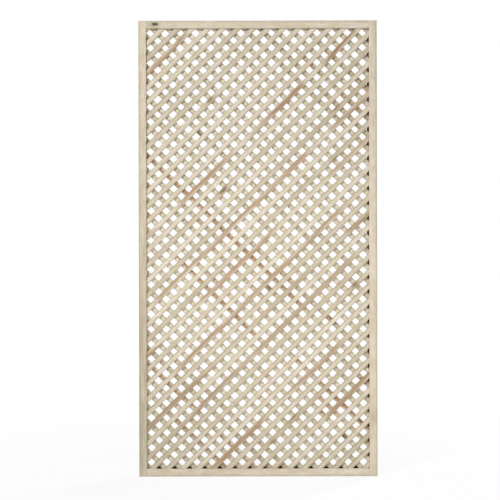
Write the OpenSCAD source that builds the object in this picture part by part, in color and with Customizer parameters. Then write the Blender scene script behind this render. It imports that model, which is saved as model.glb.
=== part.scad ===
// Garden trellis panel: a grooved softwood frame round a lattice of two layers of diagonal slats.
// X runs across the panel, -Y is the front and Z is up. The origin is the middle of the bottom edge.

/* [Panel] */
// Overall width
panel_w = 915; // [600:5:1200]
// Overall height
panel_h = 1750; // [1200:5:2100]

/* [Frame] */
// Width of a batten, seen from the front
batten_w = 30; // [26:1:50]
// Depth of a batten, front to back
batten_d = 28; // [24:1:60]
// Radius of a batten's eased long edges
arris_r = 3; // [1:0.5:5]
// Depth of the groove that holds the lattice
groove_d = 10; // [6:0.5:14]
// How far the back lip reaches past the front lip, in the right stile and the bottom rail
back_reach = 6.5; // [0:0.5:8]
// Clearance between the lattice and each side of its groove
groove_clear = 0.3; // [0.1:0.1:0.8]
// Clearance between a tenon and each side of its groove
tenon_clear = 0.1; // [0:0.05:0.4]
// Clearance at the bottom of a groove, at the ends of slats and tenons
end_clear = 0.8; // [0.2:0.1:2]

/* [Lattice] */
// Width of a slat
slat_w = 19; // [14:0.5:24]
// Thickness of a slat
slat_t = 8; // [4:0.5:10]
// Openings in a full row, from stile to stile
openings_across = 15; // [13:1:18]
// Openings in a full column, from rail to rail
openings_down = 30; // [26:1:36]
// Distance from the frame to the middle of the first opening, as a share of the lattice cell
edge_share = 0.335; // [0.3:0.005:0.45]
// Offset of the slat pattern to the right of the panel's middle
pattern_dx = -4; // [-6:0.5:6]
// Offset of the slat pattern above the panel's middle
pattern_dz = 4; // [-6:0.5:6]

/* [Staples] */
// Width of a staple's crown
crown_w = 10; // [6:0.5:12]
// Thickness of the staple wire
wire_t = 1.2; // [0.8:0.1:1.6]
// Depth of a staple's legs in the front slat
staple_bite = 4; // [2:0.5:5]
// Crossings from one staple to the next along a slat
staple_every = 5; // [3:2:7]

/* [Screws] */
// Length of a frame screw
screw_l = 60; // [45:1:80]
// Diameter of a screw's shank
shank_d = 4; // [3:0.5:5]
// Diameter of a screw's countersunk head
head_d = 8; // [7:0.5:10]
// Height of the head's cone
head_h = 2.6; // [2:0.1:4]
// Length of a screw's point
point_l = 6; // [4:0.5:10]
// Clearance round a screw in the stile
screw_clear = 0.2; // [0.1:0.05:0.4]
// Length of each slot of the cross recess in a head
recess_l = 5; // [4:0.5:6]
// Width of each slot of the cross recess
recess_w = 1.2; // [0.8:0.1:1.6]
// Depth of the cross recess
recess_d = 1.8; // [1:0.1:2.2]

/* [Hidden] */
$fn = 48;
// How far a cut runs past the surface that it opens
overrun = 1;
// A slat lies half a lattice cell from the openings on each side of it
half_share = 1 / 2;

pine = [0.87, 0.82, 0.70];
front_wood = [0.86, 0.80, 0.68];
back_wood = [0.78, 0.71, 0.59];
steel = [0.72, 0.73, 0.74];
brass_plate = [0.80, 0.72, 0.48];

// Space inside the frame
open_w = panel_w - 2 * batten_w;
open_h = panel_h - 2 * batten_w;
mid_z = panel_h / 2;

// Grooves, and the rails' stub tenons in the stiles' grooves
groove_w = 2 * (slat_t + groove_clear);
web_w = batten_w - groove_d;
lip_d = (batten_d - groove_w) / 2;
tenon_t = groove_w - 2 * tenon_clear;
tenon_l = groove_d - end_clear;

// Lattice sheet, trimmed to sit in the grooves
sheet_w = open_w + 2 * (groove_d - end_clear);
sheet_h = open_h + 2 * (groove_d - end_clear);

// Lattice cell: one opening and its share of the slats, from corner to corner
cell_w = open_w / (openings_across - 1 + 2 * edge_share);
cell_h = open_h / (openings_down - 1 + 2 * edge_share);
slat_angle = atan2(cell_h, cell_w);

// Middles of the openings in the left corners
first_x = pattern_dx - cell_w * (openings_across - 1) / 2;
top_z = mid_z + pattern_dz + cell_h * (openings_down - 1) / 2;
bottom_z = top_z - cell_h * (openings_down - 1);

// Slats of a layer are numbered from the panel's left corner: top left in front, bottom left behind
slat_count = openings_across + openings_down;
slat_reach = panel_h / sin(slat_angle) + slat_w;

// The longest slats of a layer stand alone, and the rest are grouped by corner
single_count = 25;
first_single = floor((slat_count - single_count) / 2);
last_single = first_single + single_count - 1;

// Screws run along the middle of a rail's web
screw_inset = web_w / 2;

// A staple's middle stays clear of the frame and its longer back lips
edge_room = back_reach + crown_w;

function slat_line(k) = k - half_share;
function crossing_x(k, j) = first_x + cell_w * (slat_line(k) + slat_line(j) - openings_down + 1) / 2;
function crossing_z(k, j) = (top_z + bottom_z) / 2 + cell_h * (slat_line(j) - slat_line(k)) / 2;
function in_opening(x, z) = abs(x) < open_w / 2 - edge_room && abs(z - mid_z) < open_h / 2 - edge_room;
function on_staple_row(k, j) = (k + 2 * j) % staple_every == 0;
function is_stapled(k, j) = on_staple_row(k, j) && in_opening(crossing_x(k, j), crossing_z(k, j));

function two_digits(n) = n < 10 ? str("0", n) : str(n);
function single_name(layer, k) = str(layer, "_slat_", two_digits(k - first_single + 1));

SINGLES = [first_single : last_single];
LOW_CORNER = [0 : first_single - 1];
HIGH_CORNER = [last_single + 1 : slat_count - 1];

// Cross section of a batten: outer edge at x = 0, grooved inner edge at x = batten_w, back lip beyond it
module batten_section(reach) {
    difference() {
        translate([0, -batten_d / 2])
            eased_rectangle(batten_w, batten_d, arris_r);
        translate([web_w, -groove_w / 2])
            square([groove_d + overrun, groove_w]);
    }
    translate([web_w, groove_w / 2]) {
        square([groove_d + reach, lip_d - arris_r]);
        square([groove_d + reach - arris_r, lip_d]);
        translate([groove_d + reach - arris_r, lip_d - arris_r])
            circle(arris_r);
    }
}

module eased_rectangle(w, d, r) {
    translate([r, 0])
        square([w - 2 * r, d]);
    translate([0, r])
        square([w, d - 2 * r]);
    for (x = [r, w - r], y = [r, d - r])
        translate([x, y])
            circle(r);
}

// A screw with its head at the origin and its point along +X, with clearance round it
module screw_body(clear) {
    rotate([0, 90, 0]) {
        cylinder(h = head_h, d1 = head_d + 2 * clear, d2 = shank_d + 2 * clear);
        cylinder(h = screw_l - point_l, d = shank_d + 2 * clear);
        translate([0, 0, screw_l - point_l])
            cylinder(h = point_l, d1 = shank_d + 2 * clear, d2 = 0);
    }
}

// Places its children at the left corners, with +X pointing into the rails
module at_left_corners() {
    for (z = [screw_inset, panel_h - screw_inset])
        translate([-panel_w / 2, 0, z])
            children();
}

module stile(reach) {
    color(pine)
        difference() {
            translate([-panel_w / 2, 0, 0])
                linear_extrude(panel_h)
                    batten_section(reach);
            at_left_corners()
                screw_body(screw_clear);
        }
}

module left_stile() {
    stile(0);
}

module right_stile() {
    mirror([1, 0, 0])
        stile(back_reach);
}

// A rail lies on its outer edge, with a stub tenon at each end and room for the right stile's back lip
module rail(reach) {
    color(pine)
        difference() {
            union() {
                translate([open_w / 2, 0, 0])
                    rotate([0, -90, 0])
                        linear_extrude(open_w)
                            batten_section(reach);
                translate([-open_w / 2 - tenon_l, -tenon_t / 2, 0])
                    cube([open_w + 2 * tenon_l, tenon_t, web_w]);
            }
            for (side = [0, 1])
                mirror([side, 0, 0])
                    at_left_corners()
                        screw_body(0);
            translate([open_w / 2 - back_reach, groove_w / 2, -overrun])
                cube([back_reach + overrun, lip_d + overrun, batten_w + reach + 2 * overrun]);
        }
}

module bottom_rail() {
    rail(back_reach);
}

module top_rail() {
    translate([0, 0, panel_h])
        mirror([0, 0, 1])
            rail(0);
}

// Slat k of a layer, trimmed to the lattice sheet. The side is -1 in front and 1 behind
module plain_slat(k, side) {
    intersection() {
        translate([first_x + cell_w * slat_line(k), side * slat_t / 2, side < 0 ? top_z : bottom_z])
            rotate([0, side * slat_angle, 0])
                cube([2 * slat_reach, slat_t, slat_w], center = true);
        translate([0, 0, mid_z])
            cube([sheet_w, 2 * slat_t + 2 * overrun, sheet_h], center = true);
    }
}

// A staple at the crossing of front slat k and back slat j, crown behind, with chisel points
module staple(k, j) {
    crown = crown_w / 2;
    leg = crown - wire_t;
    head = slat_t + wire_t;
    translate([crossing_x(k, j), 0, crossing_z(k, j) - wire_t / 2])
        linear_extrude(wire_t)
            polygon([
                [-crown, -staple_bite], [-crown, head], [crown, head], [crown, -staple_bite],
                [leg, wire_t - staple_bite], [leg, slat_t], [-leg, slat_t], [-leg, wire_t - staple_bite]
            ]);
}

module front_slat(k) {
    color(front_wood)
        difference() {
            plain_slat(k, -1);
            for (j = [0 : slat_count - 1])
                if (is_stapled(k, j))
                    staple(k, j);
        }
}

module back_slat(j) {
    color(back_wood)
        difference() {
            plain_slat(j, 1);
            for (k = [0 : slat_count - 1])
                if (is_stapled(k, j))
                    staple(k, j);
        }
}

module front_slats_top_left() {
    for (k = LOW_CORNER)
        front_slat(k);
}

module front_slats_bottom_right() {
    for (k = HIGH_CORNER)
        front_slat(k);
}

module back_slats_bottom_left() {
    for (j = LOW_CORNER)
        back_slat(j);
}

module back_slats_top_right() {
    for (j = HIGH_CORNER)
        back_slat(j);
}

module slat_staples() {
    color(steel)
        for (k = [0 : slat_count - 1], j = [0 : slat_count - 1])
            if (is_stapled(k, j))
                staple(k, j);
}

module frame_screw() {
    color(brass_plate)
        difference() {
            screw_body(0);
            for (slot = [[recess_l, recess_w], [recess_w, recess_l]])
                translate([-overrun, -slot[0] / 2, -slot[1] / 2])
                    cube([recess_d + overrun, slot[0], slot[1]]);
        }
}

module frame_screws() {
    for (side = [0, 1])
        mirror([side, 0, 0])
            at_left_corners()
                frame_screw();
}

left_stile();
right_stile();
top_rail();
bottom_rail();
for (k = SINGLES) {
    front_slat(k);
    back_slat(k);
}
front_slats_top_left();
front_slats_bottom_right();
back_slats_bottom_left();
back_slats_top_right();
slat_staples();
frame_screws();
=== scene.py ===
"""Garden trellis panel: a grooved softwood frame round two layers of diagonal slats, stapled and screwed."""

import math

import bmesh
import bpy
import numpy as np
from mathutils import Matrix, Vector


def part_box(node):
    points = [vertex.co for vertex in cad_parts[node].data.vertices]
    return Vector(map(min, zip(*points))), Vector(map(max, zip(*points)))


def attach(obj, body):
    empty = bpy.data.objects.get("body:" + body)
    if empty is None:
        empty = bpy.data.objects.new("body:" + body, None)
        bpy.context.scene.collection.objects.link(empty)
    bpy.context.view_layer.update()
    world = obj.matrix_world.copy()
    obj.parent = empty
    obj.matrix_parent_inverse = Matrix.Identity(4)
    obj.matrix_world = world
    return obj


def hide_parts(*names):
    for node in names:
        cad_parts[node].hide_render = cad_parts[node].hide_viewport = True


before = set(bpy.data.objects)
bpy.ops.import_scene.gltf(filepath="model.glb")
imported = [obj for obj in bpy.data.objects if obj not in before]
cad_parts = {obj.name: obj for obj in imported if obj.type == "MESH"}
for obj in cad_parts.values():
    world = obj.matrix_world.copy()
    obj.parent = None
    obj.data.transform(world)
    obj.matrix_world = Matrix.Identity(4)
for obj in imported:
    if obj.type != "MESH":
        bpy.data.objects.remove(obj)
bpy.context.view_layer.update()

MM = 0.001
BODY = "root"

# Slat pattern: openings in a full row and column, and how the pattern sits in the frame
OPENINGS_ACROSS = 15
OPENINGS_DOWN = 30
EDGE_SHARE = 0.335
PATTERN_X = -4 * MM
PATTERN_Z = 4 * MM
SLATS_IN_LAYER = OPENINGS_ACROSS + OPENINGS_DOWN
SINGLE_SLATS = 25
FIRST_SINGLE = (SLATS_IN_LAYER - SINGLE_SLATS) // 2

# Slats, and how far a sawn slat strays from true
SLAT_WIDTH = 19 * MM
SLAT_THICK = 8 * MM
SLAT_EASE = 0.9 * MM
SLAT_STEP = 12 * MM
SLAT_SHIFT = 0.6 * MM
SLAT_LEAN = 0.7 * MM
SLAT_BOW = 0.7 * MM
SLAT_SWELL_SHARE = 0.02
EDGE_WAVE = 0.3 * MM
EDGE_WAVE_LENGTH = 170 * MM

# Battens of the frame
BATTEN_EASE = 3 * MM
GROOVE_DEPTH = 10 * MM
GROOVE_WIDTH = 16.6 * MM
GROOVE_EASE = 0.6 * MM
TENON_THICK = 16.4 * MM
BATTEN_STEP = 35 * MM
END_EASE = 0.4 * MM
EASE_STEPS = 5

# Knot near the left end of the top rail: its place along, across and into the rail, and its half sizes
BIG_KNOT_PLACE = np.array([33.9, -1.7, -18.0]) * MM
BIG_KNOT_HALF = np.array([15.0, 7.5, 30.0]) * MM

# A stick's place in its log, how dark a slat can be, and how brown slats of heartwood and the others are
LOG_LENGTH = 20.0
LOG_REACH = 70 * MM
DARKEST_SLAT = 1.4
HEARTWOOD_BROWNS = (0.5, 1.0)
OTHER_BROWNS = (0.0, 0.12)

# Screws through the stiles, and the countersunk holes for them
SCREW_INSET = 10 * MM
HEAD_HOLE = 8.4 * MM
SHANK_HOLE = 4.4 * MM
HEAD_DEPTH = 2.6 * MM
HOLE_DEPTH = 14 * MM
HOLE_PATCH = 16 * MM
HOLE_POINTS = 32
HOLE_STATION = 2

# Staples behind the crossings
STAPLE_EVERY = 5
CROWN_WIDTH = 10 * MM
WIRE_THICK = 1.2 * MM
STAPLE_BITE = 4 * MM
STAPLE_BEND = 1.1 * MM
STAPLE_TURN = math.radians(5)

# Meshes: edges that stay sharp, and points that are taken as one
SHARP_EDGE = math.radians(50)
SAME_POINT = 0.01 * MM

# Camera, in metres in front of the panel, and the width that it sees there
CAMERA_DISTANCE = 4.0
VIEW_WIDTH = 1.9187
SENSOR_WIDTH = 36.0
AIM_X = -30.6 * MM
AIM_Z = 869.8 * MM
CAMERA_PITCH = math.radians(0.15)
CAMERA_ROLL = math.radians(0.13)

# Light from all sides, the floor, and the distances from the panel between which its shadow fades out
AMBIENT = 0.025
FLOOR_SIZE = 24.0
FLOOR_WHITE_SHARE = 0.9
FLOOR_SHADE_FROM = 0.4
FLOOR_SHADE_TO = 2.0

# Soft square lamps: place, point that each is turned to, size and power
LAMPS = {
    "front_lamp": {"place": (0, -0.9, 0.7), "aim": (0, 0, 0.7), "size": 0.6, "power": 2.4},
    "upper_left_lamp": {"place": (-2.95, -4.0, 3.85), "aim": (1.5, 0, 1.6), "size": 0.25, "power": 236},
    "low_right_lamp": {"place": (3.0, -3.0, 0.4), "aim": (0, 0, 0.8), "size": 0.25, "power": 18},
    "back_lamp": {"place": (2.6, 2.5, 2.3), "aim": (0, 0, 0.9), "size": 0.8, "power": 140},
}

SEED = 1752
chance = np.random.default_rng(SEED)


def corners(node):
    """Lowest and highest corner of a node of the frame, as arrays."""
    return tuple(np.array(corner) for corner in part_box(node))


left_stile_low, left_stile_high = corners("left_stile")
right_stile_low, right_stile_high = corners("right_stile")
bottom_rail_low, bottom_rail_high = corners("bottom_rail")
top_rail_low = corners("top_rail")[0]

batten_width = left_stile_high[0] - left_stile_low[0]
back_reach = right_stile_high[0] - right_stile_low[0] - batten_width
batten_depth = left_stile_high[1] - left_stile_low[1]
panel_height = left_stile_high[2] - left_stile_low[2]
open_width = right_stile_low[0] - left_stile_high[0] + back_reach
open_height = top_rail_low[2] - bottom_rail_high[2] + back_reach
tenon_length = (bottom_rail_high[0] - bottom_rail_low[0] - open_width) / 2
middle_z = panel_height / 2

cell_width = open_width / (OPENINGS_ACROSS - 1 + 2 * EDGE_SHARE)
cell_height = open_height / (OPENINGS_DOWN - 1 + 2 * EDGE_SHARE)
slat_angle = math.atan2(cell_height, cell_width)
first_x = PATTERN_X - cell_width * (OPENINGS_ACROSS - 1) / 2
top_z = middle_z + PATTERN_Z + cell_height * (OPENINGS_DOWN - 1) / 2
bottom_z = top_z - cell_height * (OPENINGS_DOWN - 1)

slat_boxes = [corners(node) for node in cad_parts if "_slat" in node and node != "slat_staples"]
sheet_low = np.min([low for low, high in slat_boxes], axis=0)
sheet_high = np.max([high for low, high in slat_boxes], axis=0)

# The front layer counts its slats from the top left corner, and the back layer from the bottom left
LAYERS = {
    "front": {"side": -1, "first_z": top_z, "corners": ("top_left", "bottom_right")},
    "back": {"side": 1, "first_z": bottom_z, "corners": ("bottom_left", "top_right")},
}

# Slats of brown heartwood, by their place in the layer
HEARTWOOD = {"front": (3, 14, 19, 22, 25, 27, 29, 34, 38), "back": (5, 7, 16, 17, 21, 38, 40)}


def eased_outline(points, eases, steps):
    """Closed outline of square corners, each rounded by a quarter circle.

    The arc of a corner starts one ease before it on the incoming side and ends one ease after it on the
    outgoing side, round the point that lies one ease from both.
    """
    before = np.roll(points, 1, axis=0) - points
    after = np.roll(points, -1, axis=0) - points
    before /= np.linalg.norm(before, axis=1, keepdims=True)
    after /= np.linalg.norm(after, axis=1, keepdims=True)
    turn = np.linspace(0, math.pi / 2, steps)[None, :, None]
    ease = np.asarray(eases)[:, None, None]
    centre = points[:, None] + ease * (before + after)[:, None]
    arcs = centre - ease * (np.cos(turn) * after[:, None] + np.sin(turn) * before[:, None])
    return arcs.reshape(-1, 2)


def drawn_in(outline, by):
    """An anticlockwise outline moved inwards by a distance, square to the chord of a point's neighbours."""
    chord = np.roll(outline, -1, axis=0) - np.roll(outline, 1, axis=0)
    outward = np.stack([chord[:, 1], -chord[:, 0]], axis=1)
    return outline - by * outward / np.linalg.norm(outward, axis=1, keepdims=True)


def carried_faces(stations, points):
    """Faces of a section carried along a path: quads between neighbour sections, and a cap at each end."""
    here = np.arange(stations * points).reshape(stations, points)
    beside = np.roll(here, -1, axis=1)
    quads = np.stack([here[:-1], beside[:-1], beside[1:], here[1:]], axis=-1).reshape(-1, 4)
    return [*quads.tolist(), here[0, ::-1].tolist(), here[-1].tolist()]


def joined(surfaces):
    """Several surfaces as one: their points in a row, and their faces counted on from the points before."""
    starts = np.cumsum([0] + [len(surface["at"]) for surface in surfaces[:-1]])
    keys = [key for key in surfaces[0] if key != "faces"]
    whole = {key: np.concatenate([surface[key] for surface in surfaces]) for key in keys}
    whole["faces"] = [
        [int(start) + point for point in face]
        for start, surface in zip(starts, surfaces)
        for face in surface["faces"]
    ]
    return whole


def stick_points(origin, along, across, u, v, w):
    """Points at u along a stick, v across it and w in its third direction, which is along x across."""
    deep = np.cross(along, across)
    return origin + u[..., None] * along + v[..., None] * across + w[..., None] * deep


def timber_surface(at, u, v, w, half_width, half_thick, grain, tone, inner=0):
    """A stick's points with what its timber needs: places in the log and in the section, and the tone."""
    grain_at = np.stack([u, v, w], axis=-1) + grain
    section_at = np.stack([v / half_width, w / half_thick, inner + np.zeros_like(u)], axis=-1)
    return {
        "at": at.reshape(-1, 3),
        "grain_at": grain_at.reshape(-1, 3),
        "section_at": section_at.reshape(-1, 3),
        "tone": np.broadcast_to(tone, at.shape).reshape(-1, 3),
        "faces": carried_faces(*at.shape[:2]),
    }


def grain_place():
    """A stick's place in its log: somewhere along it, and up to the log's reach from the pith each way."""
    return chance.uniform((0, -LOG_REACH, -LOG_REACH), (LOG_LENGTH, LOG_REACH, LOG_REACH))


def blended(tones, t):
    """A tone at each place t along a stick, from 0 to 1, in straight steps between evenly placed tones."""
    places = np.linspace(0, 1, len(tones))
    return np.stack([np.interp(t, places, values) for values in zip(*tones)], axis=-1)


def slat_tones(layer, k):
    """How dark, how brown and how greenish a slat is at its left and its right end."""
    dark = DARKEST_SLAT * chance.uniform() ** 2
    green = chance.uniform()
    low_brown, high_brown = HEARTWOOD_BROWNS if k in HEARTWOOD[layer] else OTHER_BROWNS
    browns = chance.uniform(low_brown, high_brown, 2)
    return [(dark, brown, green * (1 - brown)) for brown in browns]


slat_half = np.array([SLAT_WIDTH, SLAT_THICK]) / 2
slat_section = eased_outline(
    slat_half * [(-1, -1), (1, -1), (1, 1), (-1, 1)],
    [SLAT_EASE] * 4,
    EASE_STEPS,
)


def slat_surface(layer, k):
    """Slat k of a layer: its section carried along the slat's line from edge to edge of the lattice sheet.

    The line of each section point, parallel to the slat, starts where it enters the sheet's rectangle and
    ends where it leaves it. With t from 0 to 1 along the slat, the whole section strays sideways by
    shift + lean (2t - 1) + bow sin(pi t), and each edge waves by a slow sine of its own.
    """
    side = LAYERS[layer]["side"]
    along = np.array([math.cos(slat_angle), 0, -side * math.sin(slat_angle)])
    across = np.array([side * math.sin(slat_angle), 0, math.cos(slat_angle)])
    middle = np.array([first_x + cell_width * (k - 0.5), side * SLAT_THICK / 2, LAYERS[layer]["first_z"]])

    line = middle + slat_section[:, :1] * across
    ends = np.sort(np.stack([sheet_low - line, sheet_high - line])[..., [0, 2]] / along[[0, 2]], axis=0)
    enter, leave = ends[0].max(axis=-1), ends[1].min(axis=-1)
    stations = max(4, math.ceil((leave - enter).max() / SLAT_STEP))
    t = np.linspace(0, 1, stations)[:, None]
    u = enter + t * (leave - enter)

    shift, lean, bow = chance.normal(0, (SLAT_SHIFT, SLAT_LEAN, SLAT_BOW))
    stray = shift + lean * (2 * t - 1) + bow * np.sin(math.pi * t)
    swell = 1 + chance.normal(0, SLAT_SWELL_SHARE)
    edge = np.sign(slat_section[:, 0])
    phase = chance.uniform(0, 2 * math.pi, 2)[(edge > 0).astype(int)]
    wave = EDGE_WAVE * np.sin(2 * math.pi * u / EDGE_WAVE_LENGTH + phase)
    v = swell * slat_section[:, 0] + edge * wave + stray
    w = np.broadcast_to(slat_section[:, 1], v.shape)
    at = np.clip(stick_points(middle, along, across, u, v, w), sheet_low, sheet_high)
    return timber_surface(at, u, v, w, *slat_half, grain_place(), blended(slat_tones(layer, k), t))


def slat_nodes(layer):
    """Each node of a layer with its slats' numbers: the single slats, and the short ones of two corners."""
    low_corner, high_corner = (f"{layer}_slats_{corner}" for corner in LAYERS[layer]["corners"])
    after_singles = FIRST_SINGLE + SINGLE_SLATS
    yield low_corner, range(FIRST_SINGLE)
    for count in range(SINGLE_SLATS):
        yield f"{layer}_slat_{count + 1:02d}", [FIRST_SINGLE + count]
    yield high_corner, range(after_singles, SLATS_IN_LAYER)


batten_half = batten_depth / 2
groove_half = GROOVE_WIDTH / 2
web_width = batten_width - GROOVE_DEPTH


def batten_section(reach):
    """A batten's section, with its outer edge at 0 and a back lip that reaches past the front lip."""
    lip = batten_width + reach
    points = np.array([
        (0, -batten_half),
        (batten_width, -batten_half),
        (batten_width, -groove_half),
        (web_width, -groove_half),
        (web_width, groove_half),
        (lip, groove_half),
        (lip, batten_half),
        (0, batten_half),
    ])
    return eased_outline(points, [BATTEN_EASE] * 2 + [GROOVE_EASE] * 4 + [BATTEN_EASE] * 2, EASE_STEPS)


def without_back(section):
    """A batten's section cut off at the back of its groove."""
    behind = section[:, 1:] > groove_half - GROOVE_EASE
    return np.where(behind, np.minimum(section, (web_width, groove_half)), section)


def tenon_of(section):
    """A batten's section cut down to a tenon, as wide as the timber behind the groove."""
    return np.clip(section, (0, -TENON_THICK / 2), (web_width, TENON_THICK / 2))


def groove_share(section):
    """1 inside the groove and on the lips' sides that face it, and 0 on the rest of a batten's section."""
    share = np.clip(1 + (groove_half - abs(section[:, 1])) / GROOVE_EASE, 0, 1)
    return share * (section[:, 0] > web_width - GROOVE_EASE)


def batten_surface(origin, along, across, stations, grain, tones, groove_shade):
    """A batten: the sections given for its stations, carried from one station to the next.

    The tones lie evenly from its start to its end; the last argument is its groove's share of painted shade.
    """
    sections = np.stack([section for place, section in stations])
    u = np.array([[place] for place, section in stations]) + np.zeros(sections.shape[1])
    at = stick_points(origin, np.array(along), np.array(across), u, sections[..., 0], sections[..., 1])
    v = sections[..., 0] - batten_width / 2
    w = sections[..., 1]
    # Painted shade: the groove and the lip sides that face it are darkened, as the recess behind the lattice
    # lies in shade
    inner = groove_shade * groove_share(sections[len(sections) // 2])
    tone = blended(tones, u / u.max())
    return timber_surface(at, u, v, w, batten_width / 2, batten_half, grain, tone, inner)


def even_places(start, end):
    """Places between two ends, a batten's step apart or a little less."""
    return np.linspace(start, end, math.ceil((end - start) / BATTEN_STEP) + 1)


def stile_stations(section):
    """A stile's sections: drawn in at both ends, whole on both sides of each screw hole and in between."""
    low_hole = SCREW_INSET + np.array([-HOLE_PATCH, HOLE_PATCH]) / 2
    high_hole = panel_height - low_hole[::-1]
    between = even_places(low_hole[1], high_hole[0])
    whole = [END_EASE, low_hole[0], *between, high_hole[1], panel_height - END_EASE]
    eased = drawn_in(section, END_EASE)
    return [(0, eased), *((place, section) for place in whole), (panel_height, eased)]


def rail_stations(section, right_at_start):
    """A rail's sections: whole, cut off behind beside the right stile's back lip, and tenons at its ends."""
    tenon, cut = tenon_of(section), without_back(section)
    plain_end = [(-tenon_length, tenon), (0, tenon)]
    right_end = [*plain_end, (0, cut), (back_reach, cut)]
    first, last = (right_end, plain_end) if right_at_start else (plain_end, right_end)
    start, end = (back_reach, open_width) if right_at_start else (0, open_width - back_reach)
    whole = [(place, section) for place in even_places(start, end)]
    return [*first, *whole, *((open_width - place, shape) for place, shape in reversed(last))]


def bored(surface, station, origin, along, across, grain):
    """A stile's surface with a countersunk hole in its outer face, between a station and the next.

    The face there becomes four flat faces from its corners to the hole's rim. Three rings make the hole's
    wall: of the rim's radius, of the shank's at the cone's end and of the shank's at the bottom. A flat face
    closes it.
    """
    points = EASE_STEPS * 8
    here, above = station * points, (station + 1) * points
    face = [here + points - 1, here, above, above + points - 1]
    height = abs(surface["at"][face, 2].mean() - origin[2])

    angle = -math.pi / 4 - np.linspace(0, 2 * math.pi, HOLE_POINTS, endpoint=False)
    radius = np.array([[HEAD_HOLE], [SHANK_HOLE], [SHANK_HOLE]]) / 2
    depth = np.array([[0], [HEAD_DEPTH], [HOLE_DEPTH]])
    u = height + radius * np.sin(angle)
    v = depth + 0 * u
    w = radius * np.cos(angle)
    at = stick_points(origin, np.array(along), np.array(across), u, v, w)
    half = (batten_width / 2, batten_half)
    rings = timber_surface(at, u, v - batten_width / 2, w, *half, grain, surface["tone"][0])

    quarter = HOLE_POINTS // 4
    first = len(surface["at"])
    fan = [
        [face[side], face[(side + 1) % 4]]
        + [first + (side * quarter + step) % HOLE_POINTS for step in range(quarter, -1, -1)]
        for side in range(4)
    ]
    wall = [[first + point for point in ring] for ring in rings["faces"][:2 * HOLE_POINTS]]
    floor = [first + 2 * HOLE_POINTS + point for point in range(HOLE_POINTS)]
    bored_faces = [kept for kept in surface["faces"] if set(kept) != set(face)]
    whole = {key: np.concatenate([surface[key], rings[key]]) for key in surface if key != "faces"}
    whole["faces"] = [*bored_faces, *fan, *wall, floor]
    return whole


def staple_wires():
    """Staples at every fifth crossing of each slat: a six-sided wire up a leg, along the crown and down.

    The bends are quarter circles. Each staple is the same wire, turned a little about the axis through its
    crossing.
    """
    front, back = np.meshgrid(np.arange(SLATS_IN_LAYER), np.arange(SLATS_IN_LAYER), indexing="ij")
    x = first_x + cell_width * (front + back - OPENINGS_DOWN) / 2
    z = (top_z + bottom_z) / 2 + cell_height * (back - front) / 2
    inside = abs(x) < open_width / 2 - back_reach - CROWN_WIDTH
    inside &= abs(z - middle_z) < open_height / 2 - back_reach - CROWN_WIDTH
    used = inside & ((front + 2 * back) % STAPLE_EVERY == 0)
    x, z = x[used], z[used]

    bend = np.linspace(0, math.pi / 2, 4)
    half = (CROWN_WIDTH - WIRE_THICK) / 2
    crown = SLAT_THICK + WIRE_THICK / 2
    line_x = np.array([-half, *(-half + STAPLE_BEND * (1 - np.cos(bend)))])
    line_y = np.array([-STAPLE_BITE, *(crown - STAPLE_BEND * (1 - np.sin(bend)))])
    lean = np.array([0, *bend])
    line_x = np.concatenate([line_x, -line_x[::-1]])
    line_y = np.concatenate([line_y, line_y[::-1]])
    lean = np.concatenate([lean, math.pi - lean[::-1]])[:, None]

    round_wire = np.linspace(0, 2 * math.pi, 6, endpoint=False)
    out = WIRE_THICK / 2 * np.cos(round_wire)
    flat = WIRE_THICK / 2 * np.sin(round_wire)
    wire_x = line_x[:, None] - out * np.cos(lean)
    wire_y = line_y[:, None] + out * np.sin(lean)
    wire_z = np.broadcast_to(flat, wire_x.shape)

    turn = chance.normal(0, STAPLE_TURN, len(x))[:, None, None]
    at = np.stack([
        x[:, None, None] + wire_x * np.cos(turn) - wire_z * np.sin(turn),
        np.broadcast_to(wire_y, (len(x), *wire_y.shape)),
        z[:, None, None] + wire_x * np.sin(turn) + wire_z * np.cos(turn),
    ], axis=-1)
    return joined([{"at": one.reshape(-1, 3), "faces": carried_faces(*one.shape[:2])} for one in at])


def paint(red, green, blue):
    """A colour as it is seen, from 0 to 255, as the linear values that a shader takes."""
    seen = np.array([red, green, blue]) / 255
    linear = np.where(seen <= 0.04045, seen / 12.92, ((seen + 0.055) / 1.055) ** 2.4)
    return (*linear.tolist(), 1.0)


def wired(tree, kind, inputs, **settings):
    """Outputs of a new node: its settings made, and its inputs linked to sockets or set to plain values."""
    made = tree.nodes.new(kind)
    for name, value in settings.items():
        setattr(made, name, value)
    for place, value in inputs.items():
        if isinstance(value, bpy.types.NodeSocket):
            tree.links.new(value, made.inputs[place])
        else:
            made.inputs[place].default_value = value
    return made.outputs


def own(tree, name):
    """A piece's own attribute, as a vector."""
    return wired(tree, "ShaderNodeAttribute", {}, attribute_name=name)["Vector"]


def maths(tree, operation, *values):
    """The result of a sum on sockets or plain numbers."""
    return wired(tree, "ShaderNodeMath", dict(enumerate(values)), operation=operation)[0]


def stretched(tree, vector, scales, shift=(0, 0, 0)):
    """A vector times a scale in each direction, plus a shift."""
    return wired(tree, "ShaderNodeVectorMath", {0: vector, 1: scales, 2: shift}, operation="MULTIPLY_ADD")[0]


def cloud(tree, vector, scales, detail, shift=(0, 0, 0)):
    """Noise of a number of lumps per metre in each direction."""
    inputs = {"Vector": stretched(tree, vector, scales, shift), "Scale": 1.0, "Detail": detail}
    return wired(tree, "ShaderNodeTexNoise", inputs)["Fac"]


def ranged(tree, value, low, high, to_low=0.0, to_high=1.0):
    """A value taken smoothly from one range to another, and held at its ends."""
    inputs = {"Value": value, "From Min": low, "From Max": high, "To Min": to_low, "To Max": to_high}
    return wired(tree, "ShaderNodeMapRange", inputs, interpolation_type="SMOOTHSTEP")[0]


def mixed(tree, share, under, over, way="MIX"):
    """A colour with a share of another one over it."""
    inputs = {0: share, 6: under, 7: over}
    return wired(tree, "ShaderNodeMix", inputs, data_type="RGBA", blend_type=way)[2]


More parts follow.
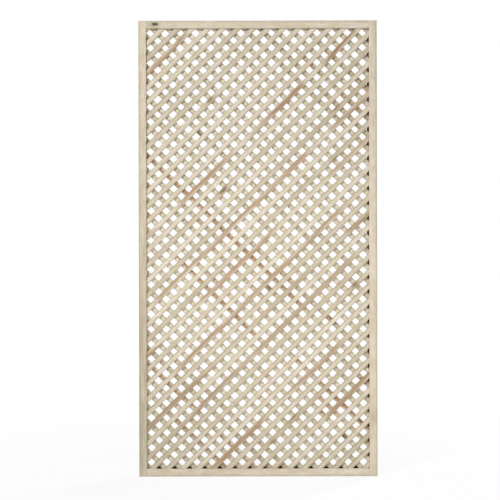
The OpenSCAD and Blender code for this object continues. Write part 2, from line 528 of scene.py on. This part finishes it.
def new_material(name):
    """A new material, its nodes and its shader."""
    material = bpy.data.materials.new(name)
    material.use_nodes = True
    return material, material.node_tree, material.node_tree.nodes["Principled BSDF"]


# Colours that go over a timber's own tones
GREEN_STAIN = paint(204, 201, 170)
PINK_STAIN = paint(227, 211, 201)
HEART_BROWN = paint(174, 131, 95)
DARK_WOOD = paint(178, 163, 134)
KNOT_RIM = paint(186, 152, 116)
KNOT_CORE = paint(118, 92, 68)
SHADED_EDGE = paint(158, 143, 114)
RUBBED_EDGE = paint(168, 152, 122)
# Painted shade for the recess of a groove behind the lattice
GROOVE_PAINTED_SHADE = paint(78, 60, 38)
BIG_KNOT_RIM = paint(168, 164, 142)
BIG_KNOT_CORE = paint(70, 66, 54)


def late_wood_of(tree, grain):
    """Late wood: a share that grows through each growth ring round the pith and drops at the ring's end."""
    rings = wired(
        tree,
        "ShaderNodeTexWave",
        {
            "Vector": stretched(tree, grain, (0.03, 1, 1)),
            "Scale": 85.0,
            "Distortion": 6.0,
            "Detail": 2.0,
            "Detail Scale": 0.5,
        },
        wave_type="RINGS",
        rings_direction="X",
        wave_profile="SAW",
    )["Fac"]
    return maths(tree, "MULTIPLY", ranged(tree, rings, 0.3, 0.9), ranged(tree, rings, 1.0, 0.95))


def knots_of(tree, grain, knots_above):
    """Cores and wider rims of small knots, one in each cell of the log whose value lies above a limit."""
    place = stretched(tree, grain, (8, 17, 17))
    cells = wired(tree, "ShaderNodeTexVoronoi", {"Vector": place, "Scale": 1.0})
    cell_value = wired(tree, "ShaderNodeSeparateColor", {0: cells["Color"]})[0]
    here = maths(tree, "GREATER_THAN", cell_value, knots_above)
    core = maths(tree, "MULTIPLY", here, ranged(tree, cells["Distance"], 0.22, 0.07))
    rim = maths(tree, "MULTIPLY", here, ranged(tree, cells["Distance"], 0.42, 0.16))
    return core, rim


def brown_streak_of(tree, grain, across):
    """A streak that wanders from side to side along a stick, and fades out in places."""
    wander = ranged(tree, cloud(tree, grain, (5, 4, 4), 1.0, (2, 6, 3)), 0.3, 0.7, -0.7, 0.7)
    off_streak = maths(tree, "ABSOLUTE", maths(tree, "SUBTRACT", across, wander))
    lengths = cloud(tree, grain, (4, 12, 12), 1.0, (5, 9, 1))
    broken = ranged(tree, lengths, 0.41, 0.56, 0.05, 1.0)
    return maths(tree, "MULTIPLY", ranged(tree, off_streak, 1.1, 0.35, 0.15, 1.0), broken)


def with_big_knot(tree, grain, colour, centre):
    """A colour with a big knot over it: an oval with an uneven outline, dark within a paler rim."""
    off_centre = stretched(tree, grain, 1 / BIG_KNOT_HALF, -centre / BIG_KNOT_HALF)
    ripple = maths(tree, "MULTIPLY", cloud(tree, grain, (90, 160, 160), 2.0), 0.6)
    distance = wired(tree, "ShaderNodeVectorMath", {0: off_centre}, operation="LENGTH")["Value"]
    distance = maths(tree, "ADD", distance, ripple)
    colour = mixed(tree, ranged(tree, distance, 2.8, 1.0, 0.0, 0.6), colour, BIG_KNOT_RIM)
    return mixed(tree, ranged(tree, distance, 1.4, 0.8, 0.0, 0.95), colour, BIG_KNOT_CORE)


def timber(name, tones, roughness, edge_shades, knots_above, big_knot=None):
    """Sawn softwood of a pale, a warm and a late-wood tone, with stains, brown streaks, knots and fibres.

    The edges at both sides of the section each have their share of shade, and the inside of a groove its
    share of painted shade. A big knot has its centre at a given place in the log.
    """
    pale, warm, late = tones
    material, tree, shader = new_material(name)
    grain = own(tree, "grain_at")
    dark, brown, green = wired(tree, "ShaderNodeSeparateXYZ", {0: own(tree, "tone")})
    across, deep, inner = wired(tree, "ShaderNodeSeparateXYZ", {0: own(tree, "section_at")})
    late_wood = late_wood_of(tree, grain)
    patches = cloud(tree, grain, (14, 30, 30), 3.0)
    mottle = cloud(tree, grain, (34, 60, 60), 2.0, (8, 1, 6))
    stains = cloud(tree, grain, (13, 45, 45), 2.0, (3, 5, 7))
    streaks = cloud(tree, grain, (5, 60, 60), 2.0, (11, 2, 4))
    fibres = cloud(tree, grain, (16, 700, 700), 3.0)
    knot_core, knot_rim = knots_of(tree, grain, knots_above)

    colour = mixed(tree, ranged(tree, patches, 0.4, 0.6), pale, warm)
    colour = mixed(tree, ranged(tree, mottle, 0.45, 0.7, 0.0, 0.55), colour, late)
    colour = mixed(tree, maths(tree, "MULTIPLY", late_wood, 0.55), colour, late)
    green_share = maths(tree, "MULTIPLY", green, ranged(tree, stains, 0.45, 0.7, 0.0, 0.6))
    colour = mixed(tree, green_share, colour, GREEN_STAIN)
    colour = mixed(tree, ranged(tree, stains, 0.5, 0.28, 0.0, 0.45), colour, PINK_STAIN)
    brown_share = maths(tree, "MULTIPLY", brown, brown_streak_of(tree, grain, across))
    colour = mixed(tree, brown_share, colour, HEART_BROWN)
    dark_share = maths(tree, "MULTIPLY", dark, ranged(tree, streaks, 0.3, 0.7, 0.2, 0.5))
    colour = mixed(tree, dark_share, colour, DARK_WOOD)
    colour = mixed(tree, maths(tree, "MULTIPLY", knot_rim, 0.35), colour, KNOT_RIM)
    colour = mixed(tree, maths(tree, "MULTIPLY", knot_core, 0.85), colour, KNOT_CORE)
    fibre_shade = ranged(tree, fibres, 0.3, 0.7, 0.86, 1.05)
    fibre_grey = wired(tree, "ShaderNodeCombineColor", dict.fromkeys(range(3), fibre_shade))[0]
    colour = mixed(tree, 1.0, colour, fibre_grey, "MULTIPLY")

    for side, edge_shade in zip((-1, 1), edge_shades):
        beside = ranged(tree, across, 0.25 * side, 1.0 * side, 0.0, edge_shade)
        colour = mixed(tree, beside, colour, SHADED_EDGE)
    edge = maths(tree, "MINIMUM", maths(tree, "ABSOLUTE", across), maths(tree, "ABSOLUTE", deep))
    rubbing = ranged(tree, patches, 0.3, 0.6, 0.1, 0.5)
    rubbed = maths(tree, "MULTIPLY", ranged(tree, edge, 0.86, 1.0), rubbing)
    colour = mixed(tree, rubbed, colour, RUBBED_EDGE)
    # Painted shade inside the groove
    colour = mixed(tree, inner, colour, GROOVE_PAINTED_SHADE)
    if big_knot is not None:
        colour = with_big_knot(tree, grain, colour, big_knot)

    tree.links.new(colour, shader.inputs["Base Color"])
    rough = ranged(tree, fibres, 0.3, 0.7, roughness + 0.1, roughness - 0.08)
    tree.links.new(rough, shader.inputs["Roughness"])
    shader.inputs["Specular IOR Level"].default_value = 0.3
    relief = maths(tree, "MULTIPLY", late_wood, 0.5)
    relief = maths(tree, "ADD", relief, maths(tree, "MULTIPLY", fibres, 0.8))
    relief = maths(tree, "ADD", relief, maths(tree, "MULTIPLY", knot_rim, 0.6))
    bump = wired(tree, "ShaderNodeBump", {"Strength": 0.5, "Distance": 0.3 * MM, "Height": relief})[0]
    tree.links.new(bump, shader.inputs["Normal"])
    return material


def plated(name, bright, dull, lumps, roughness):
    """Plated steel: a metal of two close tones in a fine cloud, duller where it is the darker one."""
    material, tree, shader = new_material(name)
    place = wired(tree, "ShaderNodeTexCoord", {})["Object"]
    spangle = cloud(tree, place, (lumps, lumps, lumps), 3.0)
    share = ranged(tree, spangle, 0.35, 0.65)
    tree.links.new(mixed(tree, share, bright, dull), shader.inputs["Base Color"])
    rough = ranged(tree, spangle, 0.3, 0.7, roughness - 0.1, roughness + 0.15)
    tree.links.new(rough, shader.inputs["Roughness"])
    shader.inputs["Metallic"].default_value = 1.0
    bump = wired(tree, "ShaderNodeBump", {"Strength": 0.2, "Distance": 0.05 * MM, "Height": spangle})[0]
    tree.links.new(bump, shader.inputs["Normal"])
    return material


def add_piece(node, surface, material):
    """A piece that stands for a node of the frame: the surface as a mesh, with the timber's values on it."""
    mesh = bpy.data.meshes.new(node + "_shaped")
    mesh.from_pydata(surface["at"], [], surface["faces"])
    for name in ("grain_at", "section_at", "tone"):
        if name in surface:
            values = np.ascontiguousarray(surface[name], dtype=np.float32).ravel()
            mesh.attributes.new(name, "FLOAT_VECTOR", "POINT").data.foreach_set("vector", values)
    shape = bmesh.new()
    shape.from_mesh(mesh)
    bmesh.ops.remove_doubles(shape, verts=shape.verts, dist=SAME_POINT)
    shape.to_mesh(mesh)
    shape.free()
    mesh.materials.append(material)
    mesh.shade_smooth()
    mesh.set_sharp_from_angle(angle=SHARP_EDGE)
    piece = bpy.data.objects.new(mesh.name, mesh)
    bpy.context.scene.collection.objects.link(piece)
    piece.modifiers.new("true_flats", "WEIGHTED_NORMAL").keep_sharp = True
    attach(piece, BODY)
    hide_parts(node)
    return piece


# Pale, warm and late-wood tones of each timber
frame_tones = (paint(236, 226, 207), paint(226, 214, 190), paint(210, 195, 166))
bottom_tones = (paint(243, 232, 214), paint(233, 220, 198), paint(217, 201, 174))
front_tones = (paint(240, 232, 215), paint(231, 220, 197), paint(214, 199, 168))
# The back slats' tones are paler than the front slats' as painted light, against the shade that the front
# slats cast on them
back_tones = (paint(244, 237, 222), paint(236, 226, 205), paint(219, 205, 176))

top_rail_grain = grain_place()
big_knot = top_rail_grain + BIG_KNOT_PLACE
batten_look = {"roughness": 0.62, "knots_above": 0.99}
frame_timber = timber("frame_timber", frame_tones, edge_shades=(0.4, 0.0), **batten_look)
top_timber = timber("top_rail_timber", frame_tones, edge_shades=(0.3, 0.0), big_knot=big_knot, **batten_look)
bottom_timber = timber("bottom_rail_timber", bottom_tones, edge_shades=(0.4, 0.0), **batten_look)
front_timber = timber("front_slat_timber", front_tones, 0.66, edge_shades=(0.45, 0.45), knots_above=0.8)
back_timber = timber("back_slat_timber", back_tones, 0.68, edge_shades=(0.35, 0.35), knots_above=0.8)
staple_wire = plated("staple_wire", paint(196, 198, 200), paint(150, 152, 156), lumps=900, roughness=0.4)
screw_plate = plated("screw_plate", paint(226, 200, 128), paint(188, 160, 96), lumps=700, roughness=0.35)

timbers = {"front": front_timber, "back": back_timber}
for layer in LAYERS:
    for node, numbers in slat_nodes(layer):
        slats = joined([slat_surface(layer, k) for k in numbers])
        add_piece(node, slats, timbers[layer])

UP, RIGHT, LEFT, DOWN = (0, 0, 1), (1, 0, 0), (-1, 0, 0), (0, 0, -1)
# Each batten runs so that its third direction, along x across, points to the back of the panel
# The right stile and the bottom rail get painted shade in their grooves, behind the openings that the frame
# cuts off
STILES = {
    "left_stile": {
        "start": (left_stile_low[0], 0, 0), "ways": (UP, RIGHT), "reach": 0, "groove_shade": 0.0,
        "tones": [(1.1, 0.05, 0.9), (1.6, 0.05, 0.8), (0.5, 0.05, 0.5), (0.0, 0.05, 0.3)],
    },
    "right_stile": {
        "start": (right_stile_high[0], 0, panel_height), "ways": (DOWN, LEFT), "reach": back_reach,
        "groove_shade": 0.9, "tones": [(0.0, 0.0, 0.2), (0.1, 0.0, 0.3)],
    },
}
for node, stile in STILES.items():
    place = (np.array(stile["start"]), *stile["ways"])
    stations = stile_stations(batten_section(stile["reach"]))
    grain = grain_place()
    surface = batten_surface(*place, stations, grain, stile["tones"], stile["groove_shade"])
    for station in (HOLE_STATION, len(stations) - 2 - HOLE_STATION):
        surface = bored(surface, station, *place, grain)
    add_piece(node, surface, frame_timber)

RAILS = {
    "bottom_rail": {
        "start": (open_width / 2, 0, 0), "ways": (LEFT, UP), "reach": back_reach, "groove_shade": 1.0,
        "tones": [(0.0, 0.0, 0.0), (0.4, 0.15, 0.3)], "timber": bottom_timber,
    },
    "top_rail": {
        "start": (-open_width / 2, 0, panel_height), "ways": (RIGHT, DOWN), "reach": 0, "groove_shade": 0.0,
        "tones": [(0.4, 0.1, 0.4), (0.0, 0.0, 0.4)], "timber": top_timber,
    },
}
for node, rail in RAILS.items():
    place = (np.array(rail["start"]), *rail["ways"])
    stations = rail_stations(batten_section(rail["reach"]), rail["ways"][0] == LEFT)
    grain = top_rail_grain if node == "top_rail" else grain_place()
    surface = batten_surface(*place, stations, grain, rail["tones"], rail["groove_shade"])
    add_piece(node, surface, rail["timber"])

add_piece("slat_staples", staple_wires(), staple_wire)
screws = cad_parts["frame_screws"]
screws.data.materials.clear()
screws.data.materials.append(screw_plate)


def seen_directly(tree):
    """1 for what the camera sees, straight or in a reflection, and 0 for what lights the object."""
    path = wired(tree, "ShaderNodeLightPath", {})
    glossy = maths(tree, "MAXIMUM", path["Is Glossy Ray"], path["Is Transmission Ray"])
    return maths(tree, "MAXIMUM", path["Is Camera Ray"], glossy)


def white_world():
    """White behind the object, with an even grey light from all sides."""
    world = bpy.data.worlds.new("studio")
    world.use_nodes = True
    tree = world.node_tree
    strength = ranged(tree, seen_directly(tree), 0.0, 1.0, AMBIENT, 1.0)
    background = tree.nodes["Background"]
    background.inputs["Color"].default_value = (1, 1, 1, 1)
    tree.links.new(strength, background.inputs["Strength"])
    bpy.context.scene.world = world


def white_floor():
    """A white floor. Near the panel it shows the shadow by the share that the plain white leaves."""
    half = FLOOR_SIZE / 2
    mesh = bpy.data.meshes.new("floor")
    square = [(-half, -half, 0), (half, -half, 0), (half, half, 0), (-half, half, 0)]
    mesh.from_pydata(square, [], [(0, 1, 2, 3)])
    floor = bpy.data.objects.new("floor", mesh)
    bpy.context.scene.collection.objects.link(floor)
    material, tree, shader = new_material("studio_floor")
    shader.inputs["Base Color"].default_value = paint(244, 244, 244)
    shader.inputs["Roughness"].default_value = 0.9
    white = wired(tree, "ShaderNodeEmission", {"Color": (1, 1, 1, 1), "Strength": 1.0})[0]
    place = wired(tree, "ShaderNodeTexCoord", {})["Object"]
    distance = wired(tree, "ShaderNodeVectorMath", {0: place}, operation="LENGTH")["Value"]
    white_share = ranged(tree, distance, FLOOR_SHADE_FROM, FLOOR_SHADE_TO, FLOOR_WHITE_SHARE, 1.0)
    share = maths(tree, "MULTIPLY", seen_directly(tree), white_share)
    both = wired(tree, "ShaderNodeMixShader", {0: share, 1: shader.outputs[0], 2: white})[0]
    tree.links.new(both, tree.nodes["Material Output"].inputs["Surface"])
    mesh.materials.append(material)


def soft_lamp(name, place, aim, size, power):
    """A square soft lamp at a place, turned to a point of the panel."""
    lamp = bpy.data.lights.new(name, "AREA")
    lamp.size = size
    lamp.energy = power
    holder = bpy.data.objects.new(name, lamp)
    holder.location = place
    holder.visible_camera = False
    direction = np.array(aim) - np.array(place)
    flat = math.hypot(direction[0], direction[1])
    holder.rotation_euler = (math.atan2(flat, -direction[2]), 0, math.atan2(-direction[0], direction[1]))
    bpy.context.scene.collection.objects.link(holder)


def camera_in_front():
    """A camera straight in front of the panel, a little high and tipped down, with a slight roll."""
    view = bpy.data.cameras.new("camera")
    view.sensor_width = SENSOR_WIDTH
    view.lens = SENSOR_WIDTH * CAMERA_DISTANCE / VIEW_WIDTH
    camera = bpy.data.objects.new("camera", view)
    height = AIM_Z + CAMERA_DISTANCE * math.tan(CAMERA_PITCH)
    camera.location = (AIM_X, -batten_half - CAMERA_DISTANCE, height)
    camera.rotation_euler = (math.pi / 2 - CAMERA_PITCH, CAMERA_ROLL, 0)
    bpy.context.scene.collection.objects.link(camera)
    bpy.context.scene.camera = camera


white_world()
white_floor()
for name, lamp in LAMPS.items():
    soft_lamp(name, **lamp)
camera_in_front()
bpy.context.scene.view_settings.view_transform = "Standard"

bpy.context.view_layer.update()
